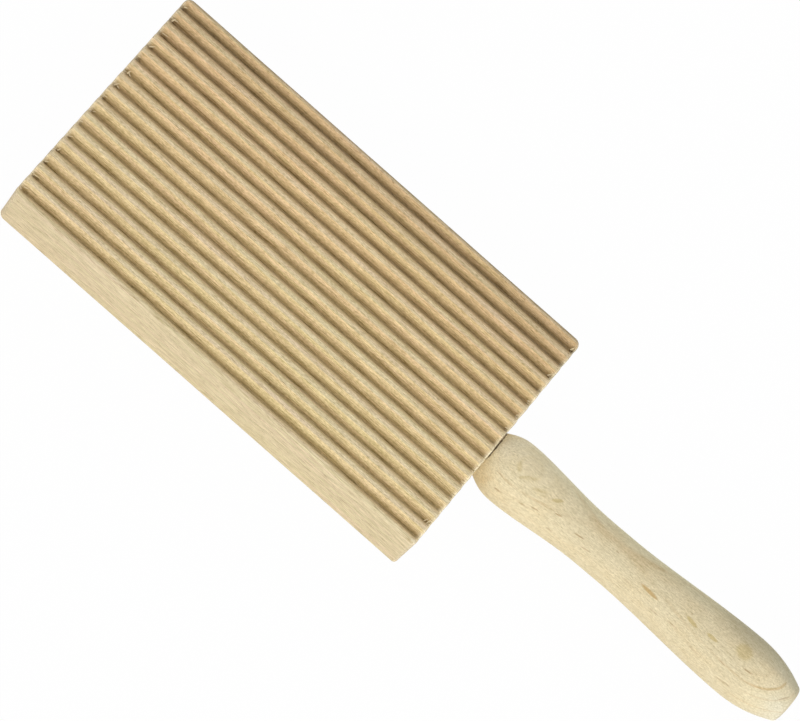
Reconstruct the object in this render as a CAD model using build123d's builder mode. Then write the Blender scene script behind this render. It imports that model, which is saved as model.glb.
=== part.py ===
from build123d import *
from math import cos, radians, sin, tan
import os

# Gnocchi board: a thick beech board with ridges along its top, and a turned handle
# that is butted on its end and held by a glued dowel.
# Millimetres. The origin is the middle of the board's underside. +X runs along the
# ridges to the handle, +Y across them and +Z up, out of the ridged face.

# Board
board_length = 147.5
board_width = 80.0
board_thickness = 20.0
corner_radius = 2.2
edge_round = 0.6
end_skew = 0.5

# Ridges, as many as fit between a flat land along each side
side_land = 1.0
groove_pitch = 5.25
groove_mouth = 4.02
groove_depth = 2.45
root_round = 0.35
crest_round = 0.35

# Handle
handle_length = 110.2
handle_skew = 1.3
seat_radius = 7.5
swell_radius = 9.95
neck_radius = 7.85
nose_radius = 5.6
nose_round = 1.0
shoulder_length = 9.0
neck_start = 40.0
neck_end = 47.0
nose_start = 92.5

# How far along and up its own stretch each curve of the handle holds its direction
shoulder_hold_shares = (0.4, 0.4)
shoulder_rise_share = 0.75
waist_hold_shares = (0.3, 0.4)
swell_hold_shares = (0.3, 0.35)
nose_hold_shares = (0.4, 0.28)
nose_drop_share = 0.6

# Dowel and its bores
dowel_radius = 4.0
dowel_length = 40.0
dowel_chamfer = 0.8
flute_count = 18
flute_radius = 0.35
bore_clearance = 0.05
bore_end_gap = 1.0

# Every cut runs past the face that it goes through by this much.
overrun = 1.0

half_length = board_length / 2
half_width = board_width / 2
mid_height = board_thickness / 2

# The grooves are spread about the middle of the board.
groove_room = board_width - 2 * side_land - groove_mouth
groove_count = int(groove_room / groove_pitch) + 1

# Both ends of the board are sawn out of square by the same angle, so its plan is a
# parallelogram whose ends run back by this much for each millimetre across.
end_slope = tan(radians(end_skew))

# The end face that carries the handle.
handle_end = Plane(
    origin=(half_length, 0, mid_height),
    x_dir=(0, 0, 1),
    z_dir=(cos(radians(end_skew)), sin(radians(end_skew)), 0),
)

# The handle's axis leaves the middle of that face, turned a little towards +Y.
axis_direction = (cos(radians(handle_skew)), sin(radians(handle_skew)), 0)
handle_axis = Axis(handle_end.origin, axis_direction)
across_axis = Plane(origin=handle_end.origin, x_dir=(0, 0, 1), z_dir=axis_direction)
along_axis = Plane(origin=handle_end.origin, x_dir=axis_direction, z_dir=(0, 0, 1))

bore_radius = dowel_radius + bore_clearance
bore_depth = dowel_length / 2 + bore_end_gap


def plan_corner(end, side):
    """A corner of the board's plan, at one end (-1, 1) and one side (-1, 1)."""
    across = side * half_width
    return (end * half_length - end_slope * across, across)


def handle_curve(start, end, hold_shares, rise_share=0, drop_share=0):
    """A smooth curve between two points of the profile. It holds the direction of the axis
    for a share of its length at each end, but for its start's rise or its end's drop."""
    reach = end[0] - start[0]
    swell = end[1] - start[1]
    return Bezier(
        start,
        (start[0] + reach * hold_shares[0], start[1] + swell * rise_share),
        (end[0] - reach * hold_shares[1], end[1] - swell * drop_share),
        end,
    )


def ridge_section():
    """The ridged top as an outline across the board, with a V for each groove."""
    outline = [(-half_width - overrun, -overrun), (-half_width - overrun, board_thickness)]
    for groove in range(groove_count):
        middle = (groove - (groove_count - 1) / 2) * groove_pitch
        outline += [
            (middle - groove_mouth / 2, board_thickness),
            (middle, board_thickness - groove_depth),
            (middle + groove_mouth / 2, board_thickness),
        ]
    outline += [(half_width + overrun, board_thickness), (half_width + overrun, -overrun)]
    return outline


# Board: one planed and sanded block with eased edges. The ridges are a moulded section
# that runs its whole length, and the bore for the dowel goes into the handle end.
with BuildPart() as ridged_board:
    with BuildSketch() as plan:
        with BuildLine():
            Polyline(
                plan_corner(-1, -1),
                plan_corner(1, -1),
                plan_corner(1, 1),
                plan_corner(-1, 1),
                close=True,
            )
        make_face()
        fillet(plan.vertices(), corner_radius)
    extrude(amount=board_thickness)
    rims = ridged_board.edges().group_by(Axis.Z)
    fillet(rims[0] + rims[-1], edge_round)
    with BuildSketch(Plane.YZ) as section:
        with BuildLine():
            Polyline(*ridge_section(), close=True)
        make_face()
        levels = section.vertices().group_by(Axis.Y)
        fillet(levels[1], root_round)
        crests = section.vertices().group_by(Axis.Y)[-1].sort_by(Axis.X)
        fillet(crests[1:-1], crest_round)
    extrude(amount=board_length, both=True, mode=Mode.INTERSECT)
    with BuildSketch(across_axis.offset(overrun)):
        Circle(bore_radius)
    extrude(amount=-bore_depth - overrun, mode=Mode.SUBTRACT)

# Handle: turned about its axis, with a shoulder that swells from the seat, a slim neck, a
# second swell and a blunt nose. Its seat lies flat on the board's end face.
seat_rim = (0, seat_radius)
shoulder = (shoulder_length, swell_radius)
neck_rise = (neck_start, neck_radius)
neck_fall = (neck_end, neck_radius)
nose_swell = (nose_start, swell_radius)
nose_edge = (handle_length, nose_radius)
with BuildPart() as handle:
    with BuildSketch(along_axis) as half_profile:
        with BuildLine():
            Line((-overrun, 0), (-overrun, seat_radius))
            Line((-overrun, seat_radius), seat_rim)
            handle_curve(seat_rim, shoulder, shoulder_hold_shares, shoulder_rise_share)
            handle_curve(shoulder, neck_rise, waist_hold_shares)
            Line(neck_rise, neck_fall)
            handle_curve(neck_fall, nose_swell, swell_hold_shares)
            handle_curve(nose_swell, nose_edge, nose_hold_shares, drop_share=nose_drop_share)
            Line(nose_edge, (handle_length, 0))
            Line((handle_length, 0), (-overrun, 0))
        make_face()
    revolve(axis=handle_axis)
    nose_rim = handle.edges().filter_by(GeomType.CIRCLE).sort_by_distance(
        handle_end.origin + Vector(*axis_direction) * handle_length
    )[0]
    fillet(nose_rim, nose_round)
    split(bisect_by=handle_end, keep=Keep.TOP)
    with BuildSketch(across_axis.offset(-overrun)):
        Circle(bore_radius)
    extrude(amount=bore_depth + overrun, mode=Mode.SUBTRACT)

# Dowel: a fluted beech pin glued half in the board and half in the handle. The flutes let
# the air and the spare glue out of the blind bores.
with BuildPart() as dowel:
    with BuildSketch(across_axis.offset(-dowel_length / 2)):
        Circle(dowel_radius)
    extrude(amount=dowel_length)
    chamfer(dowel.edges().filter_by(GeomType.CIRCLE), dowel_chamfer)
    with BuildSketch(across_axis.offset(-dowel_length / 2 - overrun)):
        with PolarLocations(dowel_radius, flute_count):
            Circle(flute_radius)
    extrude(amount=dowel_length + 2 * overrun, mode=Mode.SUBTRACT)

ridged_board.part.label = "ridged_board"
handle.part.label = "handle"
dowel.part.label = "dowel"

os.makedirs("parts", exist_ok=True)
export_step(ridged_board.part, "parts/ridged_board.step")
export_step(handle.part, "parts/handle.step")
export_step(dowel.part, "parts/dowel.step")
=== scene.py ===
from math import atan2, cos, pi, radians, sin, sqrt, tan

import bmesh
import bpy
from mathutils import Matrix, Vector, noise


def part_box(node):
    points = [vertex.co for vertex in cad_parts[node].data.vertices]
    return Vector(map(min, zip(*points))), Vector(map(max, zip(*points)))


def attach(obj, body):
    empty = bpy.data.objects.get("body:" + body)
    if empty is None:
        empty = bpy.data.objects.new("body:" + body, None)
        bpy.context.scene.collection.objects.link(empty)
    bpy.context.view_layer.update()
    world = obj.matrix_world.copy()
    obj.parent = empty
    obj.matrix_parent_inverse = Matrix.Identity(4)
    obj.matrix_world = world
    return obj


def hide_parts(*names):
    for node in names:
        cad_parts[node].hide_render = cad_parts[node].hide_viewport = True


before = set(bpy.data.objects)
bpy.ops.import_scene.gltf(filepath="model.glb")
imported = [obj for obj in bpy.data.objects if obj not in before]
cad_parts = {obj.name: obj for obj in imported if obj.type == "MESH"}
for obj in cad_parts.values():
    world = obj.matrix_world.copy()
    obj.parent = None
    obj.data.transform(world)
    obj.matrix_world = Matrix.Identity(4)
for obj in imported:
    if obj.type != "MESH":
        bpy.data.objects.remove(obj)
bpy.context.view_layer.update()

# Board: one plank of pale beech, planed, moulded along its top with V grooves that leave
# rounded ridges, sawn to length a little out of square, and sanded by hand at its ends.
mm = 0.001
board_low, board_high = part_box("ridged_board")
board_length = 147.5 * mm
board_width = board_high.y - board_low.y
board_thickness = board_high.z - board_low.z
half_length = board_length / 2
half_width = board_width / 2
end_skew = radians(0.5)
end_slope = tan(end_skew)
# The corner by the handle on the near side is crisper than the other three.
corner_radius = 2.2 * mm
crisp_corner_radius = 1.2 * mm
edge_round = 0.6 * mm
groove_count = 15
groove_pitch = 5.25 * mm
groove_mouth = 4.02 * mm
groove_depth = 2.45 * mm
root_round = 0.35 * mm
crest_round = 0.35 * mm
arc_steps = 6
rings_along = 160
end_ease = 0.7 * mm
end_ease_spread = 0.25 * mm
ridge_waver = 0.05 * mm
saw_marks = 0.14 * mm
# How far apart the hand's unevenness changes along the board and across it, and the saw's
waver_along = 30 * mm
waver_across = 2 * mm
saw_spread = 1.1 * mm
# Each end reads a part of the noise of its own, this far out on its side.
ease_noise = 7
saw_noise = 3
# How much of the easing at an end draws a crest down, and how much follows its slope
crest_drop_share = 0.6
slope_drop_share = 0.4
bore_radius = 4.05 * mm
bore_depth = 21 * mm
bore_sides = 48
smooth_angle = radians(35)
seat_middle = Vector((half_length, 0, board_thickness / 2))
handle_turn = radians(1.3)
handle_way = Vector((cos(handle_turn), sin(handle_turn), 0))


def groove_middle(groove):
    """How far across the board this groove lies, counted from the near side, at -Y."""
    return (groove - (groove_count - 1) / 2) * groove_pitch


def board_section(mesh):
    """The outline across the ridges as one face, with its edges, crests and roots round."""
    flank = atan2(groove_depth, groove_mouth / 2)
    points = [(-half_width, 0), (-half_width, board_thickness)]
    for groove in range(groove_count):
        middle = groove_middle(groove)
        points += [
            (middle - groove_mouth / 2, board_thickness),
            (middle, board_thickness - groove_depth),
            (middle + groove_mouth / 2, board_thickness),
        ]
    points += [(half_width, board_thickness), (half_width, 0)]
    shoulders = board_thickness - 2 * edge_round
    points[1:1] = [(-half_width, 2 * edge_round), (-half_width, shoulders)]
    points[-1:-1] = [(half_width, shoulders), (half_width, 2 * edge_round)]
    points += [(half_width - 2 * edge_round, 0), (2 * edge_round - half_width, 0)]
    face = mesh.faces.new([mesh.verts.new((-half_length, y, z)) for y, z in points])
    verts = list(face.verts)
    inner = verts[4:-6]
    for group, radius, turn in (
        ([verts[0], verts[3], verts[-6], verts[-3]], edge_round, pi / 2),
        (inner[1::3], root_round, 2 * flank),
        (inner[0::3] + inner[2::3], crest_round, flank),
    ):
        bmesh.ops.bevel(
            mesh,
            geom=group,
            offset=radius * tan(turn / 2),
            offset_type="OFFSET",
            segments=arc_steps,
            profile=0.5,
            affect="VERTICES",
            material=-1,
        )


def drawn_in(radius, depth):
    """How far a rounded edge of this radius has drawn in at this depth from its end."""
    reach = min(max(radius - depth, 0), radius)
    return radius - sqrt(radius * radius - reach * reach)


def bore(mesh, seat, way):
    """The blind hole for the dowel, drilled from this flat face along the handle's axis."""
    square_on = Vector((1, end_slope, 0))
    rim = list(seat.edges)
    turned = handle_way.to_track_quat("Z", "Y").to_matrix().to_4x4()
    mouth = bmesh.ops.create_circle(
        mesh,
        cap_ends=False,
        radius=bore_radius,
        segments=bore_sides,
        matrix=Matrix.Translation(seat_middle) @ turned,
    )["verts"]
    for v in mouth:
        v.co -= handle_way * ((v.co - seat_middle).dot(square_on) / handle_way.dot(square_on))
    ring = list({edge for v in mouth for edge in v.link_edges})
    bmesh.ops.delete(mesh, geom=[seat], context="FACES_ONLY")
    bmesh.ops.triangle_fill(mesh, use_beauty=True, edges=rim + ring, normal=square_on)
    walls = bmesh.ops.extrude_edge_only(mesh, edges=ring)["geom"]
    floor_verts = [v for v in walls if isinstance(v, bmesh.types.BMVert)]
    bmesh.ops.translate(mesh, verts=floor_verts, vec=handle_way * way * bore_depth)
    floor_edges = {e for v in floor_verts for e in v.link_edges if e.other_vert(v) in floor_verts}
    bmesh.ops.contextual_create(mesh, geom=list(floor_edges))


def ridged_board_mesh():
    """The section run along the board, with its ends eased, their corners round, and skewed."""
    mesh = bmesh.new()
    board_section(mesh)
    made = bmesh.ops.extrude_face_region(mesh, geom=list(mesh.faces))["geom"]
    cap = [v for v in made if isinstance(v, bmesh.types.BMVert)]
    bmesh.ops.translate(mesh, verts=cap, vec=(board_length, 0, 0))
    long_edges = [e for e in mesh.edges if abs(e.verts[0].co.x - e.verts[1].co.x) > mm]
    bmesh.ops.subdivide_edges(mesh, edges=long_edges, cuts=rings_along - 1)
    bmesh.ops.recalc_face_normals(mesh, faces=mesh.faces)
    mesh.normal_update()
    outward = {v: Vector((0, v.normal.y, v.normal.z)).normalized() for v in mesh.verts}
    last_groove = groove_middle(groove_count - 1)
    for v, out in outward.items():
        x = half_length * sin(v.co.x / board_length * pi)
        end = 1 if x > 0 else -1
        depth = half_length - abs(x)
        spot = Vector((x / waver_along, v.co.y / waver_across, end * ease_noise))
        ease = end_ease + end_ease_spread * noise.noise(spot)
        drop = out.z
        if v.co.z > board_thickness / 2:
            root = board_thickness - groove_depth
            drop = slope_drop_share * out.z
            drop += crest_drop_share * max(v.co.z - root, 0) / groove_depth
        v.co += out * (ridge_waver * noise.noise(spot))
        v.co.z -= drop * drawn_in(ease, depth)
        past_groove = abs(v.co.y) - last_groove
        if past_groove > 0:
            radius = crisp_corner_radius if v.co.y < 0 < x else corner_radius
            kept = 1 - drawn_in(radius, depth) / (half_width - last_groove)
            v.co.y = (last_groove + past_groove * kept) * (1 if v.co.y > 0 else -1)
        spot = Vector((end * saw_noise, v.co.y / saw_spread, v.co.z / saw_spread))
        rough = max(noise.noise(spot), 0)
        v.co.x = x - end_slope * v.co.y - end * saw_marks * rough * (depth < saw_marks)
    end_face = max(mesh.faces, key=lambda f: f.calc_area() * (f.calc_center_median().x > 0))
    bore(mesh, end_face, -1)
    return mesh


def finished_object(name, mesh):
    """A closed mesh as an object of this name, shaded smooth but for its sharp edges."""
    bmesh.ops.recalc_face_normals(mesh, faces=mesh.faces)
    data = bpy.data.meshes.new(name)
    mesh.to_mesh(data)
    mesh.free()
    data.shade_smooth()
    data.set_sharp_from_angle(angle=smooth_angle)
    made = bpy.data.objects.new(name, data)
    bpy.context.scene.collection.objects.link(made)
    return made


ridged_board = finished_object("moulded_board", ridged_board_mesh())
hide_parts("ridged_board")
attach(ridged_board, "root")


class Socket:
    """A node's output. Sums, products and powers of it add Math nodes to its material."""

    def __init__(self, output):
        self.output = output

    def node(self, kind, settings=None, inputs=None, output=0):
        """A new node beside this one: its settings first, then its values and links."""
        made = self.output.id_data.nodes.new("ShaderNode" + kind)
        for name, value in (settings or {}).items():
            setattr(made, name, value)
        for key, value in (inputs or {}).items():
            if isinstance(value, Socket):
                self.output.id_data.links.new(value.output, made.inputs[key])
            else:
                made.inputs[key].default_value = value
        return Socket(made.outputs[output])

    def math(self, operation, *values):
        return self.node("Math", {"operation": operation}, dict(enumerate(values)))

    def __add__(self, other):
        return self.math("ADD", self, other)

    def __sub__(self, other):
        return self.math("SUBTRACT", self, other)

    def __rsub__(self, other):
        return self.math("SUBTRACT", other, self)

    def __mul__(self, other):
        return self.math("MULTIPLY", self, other)

    def __truediv__(self, other):
        return self.math("DIVIDE", self, other)

    def __pow__(self, other):
        return self.math("POWER", self, other)

    __radd__ = __add__
    __rmul__ = __mul__

    def scaled(self, lengths):
        """This place with each axis divided by a length."""
        return self.node("VectorMath", {"operation": "DIVIDE"}, {0: self, 1: lengths})

    def unsigned(self):
        """This number without its sign."""
        return self.math("ABSOLUTE", self)

    def axis(self, index):
        """One part of this place: 0 along the piece, 1 across it, 2 up."""
        return self.node("SeparateXYZ", None, {0: self}, index)

    def axes(self):
        """All three parts of this place."""
        return [self.axis(index) for index in range(3)]

    def cloud(self, detail=2.0, roughness=0.5):
        """Soft noise at this place, about 0.5."""
        return self.node(
            "TexNoise", None, {"Vector": self, "Scale": 1, "Detail": detail, "Roughness": roughness}
        )

    def rise(self, low, high):
        """0 where this is under low and 1 where it is over high, with a smooth step between."""
        return self.node(
            "MapRange",
            {"interpolation_type": "SMOOTHSTEP"},
            {"Value": self, "From Min": low, "From Max": high},
        )

    def nearing(self, edge, strip):
        """0 before a strip along an edge and 1 after it. The strip is measured from the edge."""
        return self.rise(edge - strip[0], edge - strip[1])

    def away(self, middle, reach, turn):
        """How far this place is from a middle, as a share of a reach along its three axes."""
        place = {"Vector": self, "Location": middle, "Rotation": (0, 0, turn), "Scale": reach}
        inside = self.node("Mapping", {"vector_type": "TEXTURE"}, place)
        return inside.node("VectorMath", {"operation": "LENGTH"}, {0: inside}, 1)

    def spot(self, middle, reach, turn=0.0):
        """1 inside a lens of this reach along its three axes, fading to 0 at its rim."""
        return 1 - self.away(middle, reach, turn).rise(0.5, 1)

    def loop(self, middle, reach, thickness, turn=0.0):
        """1 on the rim of an oval of this reach along its three axes, as wide as a share of it."""
        return 1 - (self.away(middle, reach, turn) - 1).unsigned().rise(0, thickness)

    def dyed(self, factor, shares):
        """This colour with its red, green and blue multiplied by these shares, by a factor."""
        full = self.node("VectorMath", {"operation": "MULTIPLY"}, {0: self, 1: shares})
        return self.tinted(factor, full)

    def shaded(self, factor):
        """This colour, lighter or darker by a factor."""
        return self.node("VectorMath", {"operation": "SCALE"}, {0: self, "Scale": factor})

    def grained(self, factor, shares):
        """This colour with its red, green and blue raised by these shares of a factor."""
        level = self.node("VectorMath", {"operation": "SCALE"}, {0: shares, "Scale": factor})
        return self.node("VectorMath", {"operation": "MULTIPLY_ADD"}, {0: self, 1: level, 2: self})

    def tinted(self, factor, tone):
        """This colour, mixed towards a tone or another colour by a factor."""
        if not isinstance(tone, Socket):
            tone = (*tone, 1)
        return self.node("Mix", {"data_type": "RGBA"}, {0: factor, 6: self, 7: tone}, 2)


# How the beech of every piece looks up close. Each size is along the grain, round the pith
# and out from it; the bends are along the piece, across it and up.
side_bend_size = (40 * mm, 12 * mm, 12 * mm)
upright_bend_size = (30 * mm, 9 * mm, 9 * mm)
ring_drift = 0.9
ring_drift_size = (90 * mm, 30 * mm, 4 * mm)
fibre_size = (5 * mm, 0.2 * mm, 0.2 * mm)
pore_size = (2 * mm, 0.2 * mm, 0.2 * mm)
ray_size = (3.4 * mm, 0.9 * mm, 5 * mm)
wood_gloss = 0.35
# Fibres darken the wood's blue more than its red, so that dark ones look warm.
fibre_shares = (0.9, 1.0, 1.35)


def wood_place(place, pith, waver):
    """Where each point lies in its tree: along the grain, round the pith and out from it."""
    x, y, z = place.axes()
    y = y - pith[0] + waver * (place.scaled(side_bend_size).cloud() - 0.5)
    z = z - pith[1] + waver * (place.scaled(upright_bend_size).cloud() - 0.5)
    out = y.math("SQRT", y * y + z * z)
    turn = y.math("ARCTAN2", y, z) * Vector(pith).length
    return place.node("CombineXYZ", None, {0: x, 1: turn, 2: out})


def late_wood(wood, ring_step):
    """The darker end of each year's growth, from 0 to 1."""
    year = wood.axis(2) / ring_step + ring_drift * wood.scaled(ring_drift_size).cloud()
    growth = year.math("FRACT", year)
    return growth**4 * (1 - growth.rise(0.94, 1))


def beech_marks(wood):
    """What else shows in sanded beech, each from 0 to 1: fibres, pores and ray flecks."""
    fibres = wood.scaled(fibre_size).cloud(2, 0.65)
    pores = wood.scaled(pore_size).cloud(1).rise(0.62, 0.72)
    rays = wood.node("TexVoronoi", None, {"Vector": wood.scaled(ray_size), "Scale": 1})
    return fibres, pores, 1 - rays.rise(0.1, 0.24)


def facing(place, index):
    """How far the surface faces along this axis: 0 along the board, 1 across it, 2 up."""
    return place.node("TexCoord", None, None, 1).axis(index)


def end_grain(place):
    """1 where the surface cuts across the fibres, 0 where it runs along them."""
    return facing(place, 0).unsigned().rise(0.45, 0.9)


def new_finish(name):
    """A material of this name, and the place of each point of the piece that wears it."""
    material = bpy.data.materials.new(name)
    material.use_nodes = True
    place = Socket(material.node_tree.nodes.new("ShaderNodeTexCoord").outputs["Object"])
    return material, place


def plain_colour(place, tone):
    """One colour all over the piece."""
    colour = place.node("RGB")
    colour.output.default_value = (*tone, 1)
    return colour


def finish_surface(material, colour, roughness, relief, relief_height):
    """Colour, roughness and relief onto the material's shader."""
    shader = material.node_tree.nodes["Principled BSDF"]
    bump = relief.node("Bump", None, {"Height": relief, "Distance": relief_height, "Strength": 1})
    for name, socket in (("Base Color", colour), ("Roughness", roughness), ("Normal", bump)):
        material.node_tree.links.new(socket.output, shader.inputs[name])
    shader.inputs["Specular IOR Level"].default_value = wood_gloss


# The heart of the board's tree, below the board towards its near side, and its year rings
board_heart = (-22 * mm, -75 * mm)
board_waver = 0.35 * mm
board_ring_step = 2.6 * mm
# Sizes of what varies over the board: pale and dark streaks, pink and olive blotches, warm
# patches, and what the moulding cutter left: short fuzz, long torn hairs and rags of fibre
streak_size = (45 * mm, 1.6 * mm, 1.6 * mm)
blotch_size = (40 * mm, 1.4 * mm, 1.4 * mm)
patch_size = (26 * mm, 7 * mm, 7 * mm)
fuzz_size = (mm, 0.16 * mm, 0.16 * mm)
hair_size = (9 * mm, 0.2 * mm, 0.2 * mm)
rag_size = (0.6 * mm, 0.25 * mm, 0.25 * mm)
# How far the hand's sanding of an end strays along the board
sanding_stray = 0.8 * mm
sanding_stray_size = (mm, mm, mm)
board_relief = 0.1 * mm
# Where each change over the board starts and where it is complete. Strips are measured back
# from an edge, and spans along the board or across it from its middle.
side_strip = (1.2 * mm, 0.9 * mm)
sanded_and_lit_strip = (1.5 * mm, 0.5 * mm)
rim_highlight_strip = (0.6 * mm, 0.2 * mm)
far_rim_side_strip = (mm, 0.4 * mm)
far_rim_top_strip = (0.8 * mm, 0.4 * mm)
handle_half_span = (0, mm)
free_end_span = (-75 * mm, 10 * mm)
far_end_span = (10 * mm, 60 * mm)
far_end_side_span = (-20 * mm, 20 * mm)
warm_side_span = (-60 * mm, 70 * mm)
far_wall_span = (-30 * mm, 40 * mm)
far_root_span = (-20 * mm, 36 * mm)
far_side_span = (22 * mm, 38 * mm)
board_pale = (0.75, 0.625, 0.385)
board_brown = (0.72, 0.555, 0.32)
board_pink = (0.80, 0.60, 0.415)
board_olive = (0.70, 0.61, 0.33)
board_dark = (0.36, 0.22, 0.09)
board_shadow_dark = (0.20, 0.12, 0.045)
board_groove_shade = (0.38, 0.275, 0.125)
board_fresh_and_lit = (0.90, 0.78, 0.54)
board_rim_highlight = (1.0, 0.89, 0.62)
# Shares of red, green and blue: warmer on the groove walls that face the near side, which is
# painted light from the lamps there, pinker on all walls towards the far side, and darker and
# pinker at the end without the handle
painted_lit_wall_glow = (1.09, 1.05, 0.91)
far_wall_dye = (1.02, 0.975, 0.99)
free_end_dye = (0.985, 0.97, 0.985)
# Painted shadow in the pockets where the cutter tore the fibres, each in the mouth of a groove:
# which end, which groove from the near side, how far from the end, how long, and how dark. Each
# fades out, so it reaches a share of its length to both sides. It reaches this far across the
# groove and up it, and its middle lies this share of the groove's depth down.
pocket_shadow_spread_share = 0.6
pocket_shadow_across = 0.65 * mm
pocket_shadow_up = 1.6 * mm
pocket_shadow_depth_share = 0.8
groove_pocket_shadows = (
    (-1, 14, 1.5, 2.4, 0.5),
    (-1, 14, 12.5, 5.0, 0.5),
    (-1, 13, 1.7, 1.6, 0.6),
    (-1, 12, 2.4, 2.4, 0.4),
    (-1, 11, 1.8, 1.4, 0.7),
    (-1, 10, 1.2, 1.8, 0.6),
    (-1, 9, 1.9, 1.6, 0.7),
    (-1, 8, 1.7, 1.5, 0.7),
    (-1, 7, 1.4, 1.4, 0.5),
    (-1, 6, 1.5, 1.2, 0.6),
    (-1, 5, 1.2, 1.2, 0.4),
    (-1, 4, 1.6, 1.3, 0.5),
    (-1, 3, 1.7, 1.6, 0.8),
    (-1, 2, 1.4, 1.5, 0.7),
    (-1, 1, 2.3, 2.6, 0.6),
    (-1, 0, 2.8, 2.0, 0.6),
    (1, 14, 1.2, 1.2, 0.9),
    (1, 12, 1.5, 1.3, 0.7),
    (1, 8, 1.0, 1.6, 0.7),
    (1, 1, 1.6, 1.8, 0.6),
)
# Small marks elsewhere: a dent in the near side, a painted highlight on the sanded corner, a
# painted highlight on the rim beside the handle and a painted shadow in the gap beside it.
# For each, its middle, its reach along the three axes, and its tone.
board_marks_and_painted_light = (
    ((-70.8 * mm, -40 * mm, 17.2 * mm), (0.8 * mm, 1.0 * mm, 0.3 * mm), board_dark),
    ((73.2 * mm, -39.2 * mm, 19.8 * mm), (1.3 * mm, 1.2 * mm, 1.2 * mm), board_fresh_and_lit),
    ((73.8 * mm, -5.2 * mm, 19.2 * mm), (0.7 * mm, 4.5 * mm, 1.6 * mm), board_rim_highlight),
    ((73.8 * mm, 2.6 * mm, 19.2 * mm), (0.6 * mm, 6.0 * mm, 1.6 * mm), board_shadow_dark),
)


def board_beech():
    """Planed beech, freshly sanded at its ends, with painted shade in its grooves, and painted
    highlights and painted shadow in the torn pockets at its ends.
    """
    material, place = new_finish("board beech, sanded")
    x, y, z = place.axes()
    wood = wood_place(place, board_heart, board_waver)
    late = late_wood(wood, board_ring_step)
    fibres, pores, flecks = beech_marks(wood)
    across = end_grain(place)
    streaks = wood.scaled(streak_size).cloud(2)
    blotches = wood.scaled(blotch_size).cloud(1)
    patches = place.scaled(patch_size).cloud(2)
    fuzz = wood.scaled(fuzz_size).cloud(1)
    hairs = wood.scaled(hair_size).cloud(1).rise(0.53, 0.66)
    ragged = place.scaled(rag_size).cloud()

    # Where each point lies: down in a groove, on the ridged face, near or on the rim of an end
    depth = (board_thickness - z) / groove_depth
    inside = depth**1.5 * (1 - depth.rise(1.0, 1.05))
    ridged = 1 - y.unsigned().nearing(half_width, side_strip)
    stray = sanding_stray * (place.scaled(sanding_stray_size).cloud() - 0.5)
    along = (x + end_slope * y).unsigned() + stray
    fresh_and_lit = along.nearing(half_length, sanded_and_lit_strip)
    rim = along.nearing(half_length, rim_highlight_strip)
    lit_wall = (0 - facing(place, 1)).rise(0.1, 0.7) * ridged
    walls = inside.math("MAXIMUM", inside * ridged, lit_wall)

    colour = plain_colour(place, board_pale)
    warmth = y.rise(*warm_side_span) + 0.5 * (patches - 0.5)
    colour = colour.tinted(warmth.rise(0, 1), board_brown)
    colour = colour.tinted(blotches.rise(0.45, 0.75) * 0.4, board_pink)
    colour = colour.tinted((1 - blotches).rise(0.45, 0.75) * 0.4, board_olive)
    # Painted shade: browner and darker down in the grooves, the deeper the darker.
    colour = colour.tinted(inside * ridged * 0.92, board_groove_shade)
    # Painted light: the groove walls that face the lamps on the near side made warmer.
    colour = colour.dyed(lit_wall, painted_lit_wall_glow)
    colour = colour.dyed(walls * y.rise(*far_wall_span), far_wall_dye)
    # Paler towards the ends: partly freshly sanded wood, partly painted light where light reaches
    # into the open ends of the grooves.
    colour = colour.tinted(fresh_and_lit * (0.25 + 0.5 * inside), board_fresh_and_lit)
    colour = colour.dyed(1 - x.rise(*free_end_span), free_end_dye)
    # Painted highlight on the eased rim of each end, twice as strong at the end by the handle.
    colour = colour.tinted(rim * (0.5 + 0.5 * x.rise(*handle_half_span)) * (1 - across), board_rim_highlight)
    colour = colour.tinted(late * 0.1 + pores * 0.4 + flecks * 0.1 + across * 0.12, board_dark)

    # Painted shadow in the torn pockets at the ends of the grooves.
    for end, groove, gap, length, tone in groove_pocket_shadows:
        middle = (
            end * (half_length - gap * mm),
            groove_middle(groove),
            board_thickness - groove_depth * pocket_shadow_depth_share,
        )
        pocket_shadow = place.spot(middle, (length * pocket_shadow_spread_share * mm, pocket_shadow_across, pocket_shadow_up))
        colour = colour.tinted(pocket_shadow * ragged.rise(0.3, 0.55) * tone, board_shadow_dark)
    # A dent, painted highlights on the near corner and on the rim by the handle, and painted shadow
    # in the gap there.
    for middle, reach, tone in board_marks_and_painted_light:
        colour = colour.tinted(place.spot(middle, reach) * ragged.rise(0.25, 0.5) * 0.8, tone)

    # Darker away from the lamps: the far side, the far roots, the far corner and the far rim
    far_side = y.rise(*far_side_span)
    far_roots = inside * y.rise(*far_root_span)
    far_end = x.rise(*far_end_span) * y.rise(*far_end_side_span)
    far_rim = y.nearing(half_width, far_rim_side_strip)
    far_rim = far_rim * z.nearing(board_thickness, far_rim_top_strip)
    shade = 0.13 * far_side + 0.25 * far_roots + 0.03 * far_end + 0.3 * far_rim
    colour = colour.shaded(1 + 0.03 * ridged - shade)

    # Long fibres on the plain faces, and shorter fuzz and dark hairs where it was moulded
    grain = (1.6 - 0.8 * ridged) * (fibres - 0.5) + ridged * (fuzz - 0.5)
    grain = grain + 0.2 * (streaks - 0.5) + ridged * (0.15 + 0.4 * inside) * (0.19 - hairs)
    colour = colour.grained(grain, fibre_shares)
    relief = fibres * (0.5 - 0.25 * ridged) + fuzz * ridged * 0.2 - pores * 0.6 - flecks * 0.2
    finish_surface(material, colour, 0.62 + 0.2 * (fibres - 0.5), relief, board_relief)
    return material


ridged_board.data.materials.append(board_beech())

# Torn fibres: slivers that the moulding cutter lifted out of the grooves at the two ends of
# the board. Each is still rooted in the wood and curls up towards the groove's mouth.
sliver_thickness = 0.1 * mm
sliver_roll = radians(38)
# How fast a sliver narrows to its tip, and how wide its root is to its middle
sliver_narrowing = 0.6
sliver_root_share = 0.55
sliver_steps = 7
sliver_strips = 2
# Points as close as this are merged.
doubled = 0.001 * mm
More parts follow.
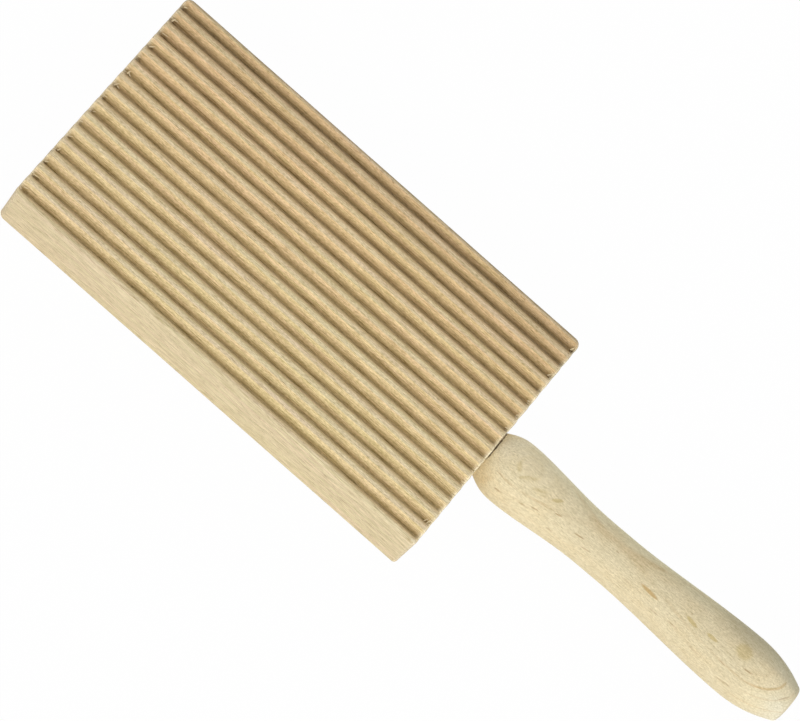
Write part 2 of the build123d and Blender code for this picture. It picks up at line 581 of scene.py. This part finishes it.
# Which end, which groove from the near side, how far from the end and off the groove's
# root, how high over the root, then length, width, turn from the grain in degrees and rise.
slivers = (
    (-1, 14, 1.5, 0.5, 1.4, 1.3, 0.5, 30, 0.5),
    (-1, 13, 1.3, 0.3, 1.5, 1.6, 0.6, 70, 0.5),
    (-1, 13, 2.1, 0.7, 1.3, 1.2, 0.4, 15, 0.3),
    (-1, 12, 2.3, 0.5, 1.2, 2.2, 0.35, 8, 0.4),
    (-1, 11, 1.8, 0.3, 1.5, 1.9, 0.5, 40, 0.4),
    (-1, 10, 1.0, 0.7, 1.3, 1.0, 0.4, 20, 0.3),
    (-1, 9, 1.7, 0.2, 1.6, 1.7, 0.55, 75, 0.6),
    (-1, 9, 2.3, -0.2, 1.3, 1.2, 0.45, -20, 0.4),
    (-1, 8, 1.4, 0.3, 1.5, 1.9, 0.5, 60, 0.4),
    (-1, 8, 2.2, -0.1, 1.3, 1.1, 0.4, -10, 0.3),
    (-1, 7, 1.3, 0.6, 1.2, 1.3, 0.4, 25, 0.3),
    (-1, 6, 1.8, 0.0, 1.4, 1.0, 0.3, 35, 0.3),
    (-1, 5, 1.0, 0.6, 1.2, 1.2, 0.4, 15, 0.3),
    (-1, 4, 1.6, 0.3, 1.3, 1.3, 0.35, 35, 0.4),
    (-1, 3, 1.6, 0.2, 1.5, 1.4, 0.5, 65, 0.5),
    (-1, 2, 1.3, 0.3, 1.3, 1.3, 0.4, 40, 0.4),
    (-1, 1, 1.9, 0.2, 1.4, 2.3, 0.35, 12, 0.4),
    (-1, 0, 2.0, 0.8, 1.4, 1.6, 0.4, 20, 0.3),
    (1, 14, 1.0, 0.4, 1.5, 1.4, 0.6, 70, 0.5),
    (1, 12, 1.3, 0.3, 1.4, 1.4, 0.5, 60, 0.4),
    (1, 10, 1.0, 0.5, 1.3, 1.0, 0.4, 30, 0.3),
    (1, 9, 0.9, 0.3, 1.4, 1.2, 0.5, 55, 0.4),
    (1, 8, 0.8, 0.4, 1.3, 1.5, 0.4, 15, 0.3),
    (1, 4, 1.0, 0.3, 1.3, 1.0, 0.35, 25, 0.3),
    (1, 1, 1.1, 0.2, 1.6, 2.3, 0.4, 78, 0.5),
    (1, 1, 2.0, 0.0, 1.5, 2.0, 0.35, 66, 0.4),
)


def torn_fibres_mesh():
    """The slivers, each a narrow blade that curls up to its tip."""
    mesh = bmesh.new()
    for end, groove, gap, aside, height, length, width, turn, rise in slivers:
        blade = bmesh.ops.create_grid(
            mesh, x_segments=sliver_steps, y_segments=sliver_strips, size=0.5
        )["verts"]
        for v in blade:
            share = v.co.x + 0.5
            belly = sliver_root_share + (1 - sliver_root_share) * sin(share * pi)
            v.co.y *= width * mm * (1 - share) ** sliver_narrowing * belly
            v.co.z = rise * mm * share * share
            v.co.x = length * mm * (share - 0.5)
        middle = groove_middle(groove) + aside * mm
        place = Matrix.Translation((
            end * (half_length - gap * mm) - end_slope * middle,
            middle,
            board_thickness - groove_depth + height * mm,
        ))
        rolled = Matrix.Rotation(sliver_roll, 4, "X")
        turned = Matrix.Rotation(radians(turn), 4, "Z")
        bmesh.ops.transform(mesh, matrix=place @ rolled @ turned, verts=blade)
    bmesh.ops.remove_doubles(mesh, verts=mesh.verts[:], dist=doubled)
    bmesh.ops.solidify(mesh, geom=mesh.faces[:], thickness=sliver_thickness)
    return mesh


torn_fibres = finished_object("torn_fibres", torn_fibres_mesh())
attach(torn_fibres, "root")

fibre_pale = (0.84, 0.71, 0.46)
strand_size = (0.8 * mm, 0.08 * mm, 0.08 * mm)
strand_relief = 0.04 * mm


def fibre_finish():
    """Pale torn wood, in fine strands."""
    material, place = new_finish("torn beech fibres")
    strands = place.scaled(strand_size).cloud(2, 0.6)
    colour = plain_colour(place, fibre_pale).tinted(strands.rise(0.45, 0.75) * 0.5, board_brown)
    finish_surface(material, colour, 0.7 + 0.2 * (strands - 0.5), strands, strand_relief)
    return material


torn_fibres.data.materials.append(fibre_finish())

# Handle: turned from a paler stick of the same beech and left off the sandpaper early, so
# its face is a little woolly. Its seat lies flat on the board's end.
handle_length = 110.2 * mm
seat_radius = 7.5 * mm
seat_ease = 0.2 * mm
swell_radius = 9.95 * mm
neck_radius = 7.85 * mm
nose_radius = 5.6 * mm
nose_round = 1.0 * mm
shoulder_length = 9 * mm
neck_start = 40 * mm
neck_end = 47 * mm
nose_start = 92.5 * mm
turn_steps = 96
# The turned profile starts this far behind the seat, on a slope that eases the seat's edge.
seat_overrun = mm
# How far along and up its own stretch each curve of the profile holds its direction, and how
# many steps it is drawn in
shoulder_hold_shares = (0.4, 0.4)
shoulder_rise_share = 0.75
shoulder_steps = 14
waist_hold_shares = (0.3, 0.4)
waist_steps = 20
swell_hold_shares = (0.3, 0.35)
swell_steps = 24
nose_hold_shares = (0.4, 0.28)
nose_drop_share = 0.6
nose_steps = 18


def handle_curve(start, end, hold_shares, steps, rise_share=0, drop_share=0, ease=0):
    """The points of a smooth curve after its start. It holds the direction of the axis for a
    share of its length at each end, but for its start's rise or its end's drop. An ease
    moves its start on along the axis."""
    reach = end[0] - start[0]
    swell = end[1] - start[1]
    corners = (
        (start[0] + ease, start[1]),
        (start[0] + reach * hold_shares[0], start[1] + swell * rise_share),
        (end[0] - reach * hold_shares[1], end[1] - swell * drop_share),
        end,
    )
    for step in range(1, steps + 1):
        t = step / steps
        s = 1 - t
        yield tuple(
            s**3 * a + 3 * s * s * t * b + 3 * s * t * t * c + t**3 * d
            for a, b, c, d in zip(*corners)
        )


def handle_profile():
    """Distances along the handle's axis and radii there, from the seat to the nose."""
    seat = (0, seat_radius)
    shoulder = (shoulder_length, swell_radius)
    neck_rise = (neck_start, neck_radius)
    neck_fall = (neck_end, neck_radius)
    swell = (nose_start, swell_radius)
    nose = (handle_length, nose_radius)
    return [
        (-seat_overrun, seat_radius - seat_overrun),
        (seat_ease, seat_radius),
        *handle_curve(
            seat,
            shoulder,
            shoulder_hold_shares,
            shoulder_steps,
            rise_share=shoulder_rise_share,
            ease=seat_ease,
        ),
        *handle_curve(shoulder, neck_rise, waist_hold_shares, waist_steps),
        *handle_curve(neck_fall, swell, swell_hold_shares, swell_steps),
        *handle_curve(swell, nose, nose_hold_shares, nose_steps, drop_share=nose_drop_share),
        (handle_length, 0),
    ]


def handle_mesh():
    """The profile spun about the handle's axis, cut flat at its seat and bored."""
    mesh = bmesh.new()
    side = handle_way.cross(Vector((0, 0, 1)))
    verts = [mesh.verts.new(seat_middle + handle_way * x + side * r) for x, r in handle_profile()]
    for pair in zip(verts, verts[1:]):
        mesh.edges.new(pair)
    bmesh.ops.bevel(
        mesh,
        geom=[verts[-2]],
        offset=nose_round,
        offset_type="OFFSET",
        segments=arc_steps,
        profile=0.5,
        affect="VERTICES",
        material=-1,
    )
    bmesh.ops.spin(
        mesh,
        geom=mesh.verts[:] + mesh.edges[:],
        cent=seat_middle,
        axis=handle_way,
        angle=2 * pi,
        steps=turn_steps,
        use_merge=True,
    )
    bmesh.ops.remove_doubles(mesh, verts=mesh.verts, dist=doubled)
    cut = bmesh.ops.bisect_plane(
        mesh,
        geom=mesh.verts[:] + mesh.edges[:] + mesh.faces[:],
        plane_co=seat_middle,
        plane_no=(-1, -end_slope, 0),
        clear_outer=True,
    )["geom_cut"]
    rim = [e for e in cut if isinstance(e, bmesh.types.BMEdge)]
    seat = bmesh.ops.contextual_create(mesh, geom=rim)["faces"][0]
    bore(mesh, seat, 1)
    return mesh


handle = finished_object("turned_handle", handle_mesh())
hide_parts("handle")
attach(handle, "root")

handle_pale = (0.80, 0.69, 0.45)
handle_warm = (0.79, 0.645, 0.385)
handle_gold = (0.60, 0.41, 0.17)
handle_olive = (0.62, 0.485, 0.21)
handle_dark = (0.48, 0.32, 0.15)
# The heart of the handle's tree, which ran below the handle
handle_heart = (-2.2 * mm, -14 * mm)
handle_waver = 0.3 * mm
# The rings round it that show, most of all on the nose: how far out each lies, how plain it
# is, and over what distance from its middle its line fades
rings = (
    (4.9, 0.4), (6.4, 0.5), (7.8, 0.4), (9.5, 0.5), (11.0, 0.3), (12.7, 0.4), (14.2, 0.3),
    (15.9, 0.25), (18.1, 0.4), (20.5, 0.25), (22.1, 0.85), (23.3, 0.1),
)
ring_fade = (0.05 * mm, 0.25 * mm)
# Rays and stains along its top: how far from the seat and to the side, their length, width
# and slant in degrees, how plain, and their tone.
handle_flecks = (
    (59.0, -3.8, 6.4, 0.95, -5.5, 0.9, handle_gold),
    (73.4, -3.0, 4.4, 1.1, -11.0, 0.8, handle_olive),
    (80.6, -2.9, 3.9, 1.1, -3.0, 0.8, handle_olive),
    (90.2, -0.2, 5.2, 4.8, 0.0, 0.6, handle_olive),
    (8.6, -1.4, 3.0, 1.8, -45.0, 0.35, handle_olive),
    (12.5, -2.1, 5.8, 1.1, 34.0, 0.4, handle_olive),
    (17.1, -2.6, 4.8, 1.1, 27.0, 0.35, handle_olive),
    (22.9, -1.3, 3.6, 1.2, 36.0, 0.65, handle_olive),
    (94.3, -3.8, 3.2, 0.35, 6.7, 0.75, handle_dark),
    (5.7, -5.9, 2.6, 0.3, -8.0, 0.55, handle_dark),
    (8.1, -8.8, 2.6, 0.3, 1.0, 0.6, handle_dark),
    (15.8, -7.8, 2.4, 0.25, 9.5, 0.5, handle_dark),
    (19.4, -6.7, 2.5, 0.3, 10.0, 0.7, handle_dark),
    (25.6, -4.0, 2.5, 0.35, 11.4, 0.75, handle_dark),
    (34.0, -4.4, 3.4, 0.35, 6.8, 0.75, handle_dark),
    (26.4, -7.6, 2.4, 0.25, 3.0, 0.5, handle_dark),
    (37.7, -5.7, 3.4, 0.3, 5.7, 0.55, handle_dark),
    (45.1, -1.0, 1.2, 0.35, 0.0, 0.5, handle_dark),
    (72.1, -1.3, 0.7, 0.5, 0.0, 0.4, handle_dark),
    (87.2, -6.2, 2.6, 0.3, -6.0, 0.5, handle_dark),
    (69.9, -6.5, 4.0, 0.3, -3.0, 0.4, handle_dark),
    (97.9, -9.7, 4.6, 0.35, 6.4, 0.6, handle_dark),
    (91.0, -9.0, 6.0, 0.3, 3.0, 0.35, handle_dark),
    (79.0, -7.9, 4.0, 0.3, -4.0, 0.35, handle_dark),
    (63.5, -6.7, 3.6, 0.3, -2.0, 0.35, handle_dark),
    (52.0, -5.2, 3.0, 0.3, -2.0, 0.3, handle_dark),
    (107.1, -2.1, 3.8, 0.35, 54.7, 0.6, handle_dark),
    (3.6, -8.3, 3.0, 1.6, 20.0, 0.2, handle_gold),
)
# The rings show as loops where the shoulder cuts across them: middle, reach and how dark.
shoulder_loops = ((11.5, 0.5, 3.4, 3.8, 0.3), (12.5, 0.8, 7.2, 6.0, 0.2))
# Each of these marks has its middle this far above the handle's axis and reaches this far up
# and down, so that it shows whole on the round face.
fleck_height = 9 * mm
fleck_depth = 30 * mm
# A fleck fades out, so it reaches this share of its length and width to both sides.
fleck_spread_share = 0.65
loop_thickness = 0.25
seat_gap_shadow = (0.07, 0.045, 0.02)
# How far the painted shadow in the seam at the seat strays along the handle
seam_stray = 0.9 * mm
seam_stray_size = (mm, mm, mm)
# Sizes of what varies over the handle: warm patches, woolly fibres, and where rings show
warm_size = (12 * mm, 5 * mm, 5 * mm)
wool_size = (0.9 * mm, 0.25 * mm, 0.25 * mm)
ring_patch_size = (11 * mm, 7 * mm, 7 * mm)
handle_relief = 0.12 * mm
# Where each change over the handle starts and where it is complete: up from its axis, along it
# from the seat, and for the side spans across it towards the far side
upper_span = (0, 2 * mm)
seam_span = (0.3 * mm, 0.65 * mm)
seam_side_span = (-5 * mm, -3 * mm)
seat_span = (6 * mm, 14 * mm)
seat_side_span = (-4 * mm, 0)
far_shoulder_span = (12 * mm, 30 * mm)
waist_shade_span = (18 * mm, 35 * mm)
far_shade_span = (50 * mm, 95 * mm)
swell_shade_span = (74 * mm, 88 * mm)
swell_shade_side_span = (-mm, 3 * mm)
nose_ring_span = (93 * mm, 99 * mm)
nose_ring_side_span = (mm, 2.5 * mm)
nose_span = (94 * mm, 106 * mm)
tip_span = (102 * mm, 108 * mm)
tip_side_span = (-5 * mm, -mm)
# Shares of red, green and blue for painted light and shade: less red in the painted shade of the
# far side, paler with painted light on the far side of the shoulder, at the seat, at the nose and
# at the nose's near tip
far_shade_tint = (0.95, 1.0, 1.0)
far_shoulder_light_tint = (1.04, 1.05, 1.12)
seat_light_tint = (1.06, 1.07, 1.11)
nose_light_tint = (1.03, 1.06, 1.12)
tip_highlight_tint = (1.01, 1.05, 1.14)


def handle_beech():
    """Paler beech with plain rings on its nose, ray flecks along its top and a woolly face."""
    material, place = new_finish("handle beech, woolly")
    along = {"Vector": place, "Location": seat_middle, "Rotation": (0, 0, handle_turn)}
    stick = place.node("Mapping", {"vector_type": "TEXTURE"}, along)
    x, y, z = stick.axes()
    wood = wood_place(stick, handle_heart, handle_waver)
    fibres, pores, flecks = beech_marks(wood)
    across = end_grain(place)
    patches = stick.scaled(warm_size).cloud(3)
    wool = stick.scaled(wool_size).cloud(3, 0.75)
    shown = stick.scaled(ring_patch_size).cloud().rise(0.42, 0.6)
    upper = z.rise(*upper_span)
    nose = x.rise(*nose_ring_span) * (1 - y.rise(*nose_ring_side_span))

    colour = plain_colour(place, handle_pale)
    colour = colour.tinted(patches.rise(0.35, 0.75) * 0.5, handle_warm)
    ringed = 0
    for radius, tone in rings:
        off_ring = (wood.axis(2) - radius * mm).unsigned()
        ringed = ringed + tone * (1 - off_ring.rise(*ring_fade))
    colour = colour.tinted(ringed * (0.1 + 0.3 * shown + 0.6 * nose), handle_gold)
    for middle_x, middle_y, reach_x, reach_y, tone in shoulder_loops:
        middle = (middle_x * mm, middle_y * mm, fleck_height)
        loop = stick.loop(middle, (reach_x * mm, reach_y * mm, fleck_depth), loop_thickness)
        colour = colour.tinted(loop * patches.rise(0.3, 0.65) * upper * tone, handle_olive)
    for middle_x, middle_y, length, width, slant, plain, tone in handle_flecks:
        middle = (middle_x * mm, middle_y * mm, fleck_height)
        reach = (length * fleck_spread_share * mm, width * fleck_spread_share * mm, fleck_depth)
        lens = stick.spot(middle, reach, radians(slant))
        colour = colour.tinted(lens * upper * plain, tone)
    marks = pores * 0.08 + flecks * (0.3 - 0.3 * upper) + across * 0.12
    colour = colour.tinted(marks, handle_dark)
    # Painted shadow in the seam at the seat, on all but the near side, away from the lamps there.
    stray = seam_stray * (stick.scaled(seam_stray_size).cloud() - 0.5)
    seam_shadow = 1 - (x + stray).rise(*seam_span)
    colour = colour.tinted(seam_shadow * y.rise(*seam_side_span) * 0.95, seat_gap_shadow)

    # Painted light and shade: how the light falls off and shifts round the handle and along it
    far_side = facing(place, 1).rise(0.1, 0.9)
    near_side = (0 - facing(place, 1)).rise(0.2, 0.9)
    colour = colour.dyed(far_side, far_shade_tint)
    colour = colour.dyed(far_side * (1 - x.rise(*far_shoulder_span)), far_shoulder_light_tint)
    colour = colour.dyed((1 - x.rise(*seat_span)) * y.rise(*seat_side_span), seat_light_tint)
    colour = colour.dyed(x.rise(*nose_span), nose_light_tint)
    colour = colour.dyed(x.rise(*tip_span) * (1 - y.rise(*tip_side_span)), tip_highlight_tint)
    painted_shade = 0.2 * far_side * x.rise(*far_shade_span)
    painted_shade = painted_shade + 0.05 * x.rise(*waist_shade_span) * (1 - nose)
    painted_shade = painted_shade + 0.14 * y.rise(*swell_shade_side_span) * x.rise(*swell_shade_span)
    colour = colour.shaded(1 - painted_shade + 0.05 * near_side)

    colour = colour.grained(0.6 * (fibres - 0.5) + 1.25 * (wool - 0.5), fibre_shares)
    relief = fibres * 0.3 + wool * 0.8 - pores * 0.3
    finish_surface(material, colour, 0.7 + 0.2 * (wool - 0.5), relief, handle_relief)
    return material


handle.data.materials.append(handle_beech())

# Dowel: a beech pin, fluted so that air and spare glue can leave its bores. It is glued half
# in the board and half in the handle, out of sight.
dowel_pale = (0.68, 0.54, 0.35)
dowel_heart = (30 * mm, -20 * mm)
dowel_waver = 0.5 * mm
dowel_ring_step = 2 * mm
dowel_relief = 0.05 * mm


def dowel_beech():
    """Plain beech, with its year rings across the ends."""
    material, place = new_finish("dowel beech, fluted")
    wood = wood_place(place, dowel_heart, dowel_waver)
    late = late_wood(wood, dowel_ring_step)
    fibres, pores, flecks = beech_marks(wood)
    marks = late * 0.2 + (fibres - 0.5) * 0.5 + pores * 0.2 + flecks * 0.1 + end_grain(place) * 0.2
    colour = plain_colour(place, dowel_pale).tinted(marks.math("MAXIMUM", marks, 0), board_brown)
    roughness = 0.6 + 0.2 * (fibres - 0.5)
    finish_surface(material, colour, roughness, fibres - pores * 0.5, dowel_relief)
    return material


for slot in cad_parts["dowel"].material_slots:
    slot.material = dowel_beech()

# Stage: a wide white table in a light tent: a strong soft lamp low on the near side, one
# overhead and one low on the far side, each a long strip along the board.
floor_white = (0.9, 0.9, 0.9)
floor_reach = 3
floor_gap = 0.2 * mm
floor_roughness = 0.9
# How much of the table's own light the camera sees in place of what falls on it
floor_glow = 0.98
sky_level = 0.03
# Each lamp's height above the table as an angle from the near side over the top, and watts
tent_lamps = ((28.5, 21.0), (94, 5.6), (146, 11.0))
end_lamp_rise = radians(30)
end_lamp_watts = {-1: 1.5, 1: 6.0}
lamp_distance = 1.5
lamp_length = 2.4
lamp_width = 1.1


def floor_finish():
    """White to the camera, but for the shadow that falls on it."""
    material, place = new_finish("white table")
    tree = material.node_tree
    shader = tree.nodes["Principled BSDF"]
    shader.inputs["Base Color"].default_value = (*floor_white, 1)
    shader.inputs["Roughness"].default_value = floor_roughness
    shader.inputs["Specular IOR Level"].default_value = 0
    seen = place.node("LightPath")
    glossy = place.node("LightPath", None, None, 3)
    shown = seen.math("MAXIMUM", seen, glossy)
    glow = place.node("Emission", None, {"Color": (1, 1, 1, 1), "Strength": 1})
    mixed = shown.node("MixShader", None, {0: shown * floor_glow, 2: glow})
    tree.links.new(shader.outputs[0], mixed.output.node.inputs[1])
    tree.links.new(mixed.output, tree.nodes["Material Output"].inputs["Surface"])
    return material


mesh = bmesh.new()
bmesh.ops.create_grid(mesh, x_segments=1, y_segments=1, size=floor_reach)
bmesh.ops.translate(mesh, verts=mesh.verts, vec=(0, 0, -floor_gap))
floor_data = bpy.data.meshes.new("white_table")
mesh.to_mesh(floor_data)
mesh.free()
floor_data.materials.append(floor_finish())
floor = bpy.data.objects.new("white_table", floor_data)
bpy.context.scene.collection.objects.link(floor)

world = bpy.data.worlds.new("white sky")
world.use_nodes = True
bpy.context.scene.world = world
sky = world.node_tree.nodes["Background"]
sky.inputs["Color"].default_value = (1, 1, 1, 1)
seen = Socket(world.node_tree.nodes.new("ShaderNodeLightPath").outputs["Is Camera Ray"])
shown = seen.math("MAXIMUM", seen, Socket(seen.output.node.outputs["Is Glossy Ray"]))
world.node_tree.links.new((sky_level + shown * (1 - sky_level)).output, sky.inputs["Strength"])

lamps = []
for lamp_rise, watts in tent_lamps:
    lamps.append((Vector((0, -cos(radians(lamp_rise)), sin(radians(lamp_rise)))), watts))
for end, watts in end_lamp_watts.items():
    lamps.append((Vector((end, 0, tan(end_lamp_rise))).normalized(), watts))
for lamp_way, watts in lamps:
    lamp = bpy.data.lights.new("strip_lamp", "AREA")
    lamp.shape = "RECTANGLE"
    lamp.energy = watts
    lamp.size = lamp_length if lamp_way.x == 0 else lamp_width
    lamp.size_y = lamp_width
    lamp_object = bpy.data.objects.new("strip_lamp", lamp)
    lamp_object.location = lamp_way * lamp_distance
    lamp_object.rotation_euler = lamp_way.to_track_quat("Z", "Y").to_euler()
    bpy.context.scene.collection.objects.link(lamp_object)

# Camera: a long lens high above the near side, rolled so that the board slants down
# the picture.
camera_lens = 261.04
camera_sensor = 36
camera_place = Vector((-3.51, -648.69, 1500.79)) * mm
camera_tilt = radians(23.6657)
camera_swing = radians(-3.6414)
camera_roll = radians(40.7601)

back = Vector((
    sin(camera_tilt) * sin(camera_swing),
    -sin(camera_tilt) * cos(camera_swing),
    cos(camera_tilt),
))
level = Vector((0, 1, 0)).cross(back).normalized()
right = Matrix.Rotation(camera_roll, 3, back) @ level
turned = Matrix((right, back.cross(right), back)).transposed()
camera = bpy.data.cameras.new("camera")
camera.lens = camera_lens
camera.sensor_width = camera_sensor
camera_object = bpy.data.objects.new("camera", camera)
camera_object.matrix_world = Matrix.Translation(camera_place) @ turned.to_4x4()
bpy.context.scene.collection.objects.link(camera_object)
bpy.context.scene.camera = camera_object
bpy.context.scene.view_settings.view_transform = "Standard"
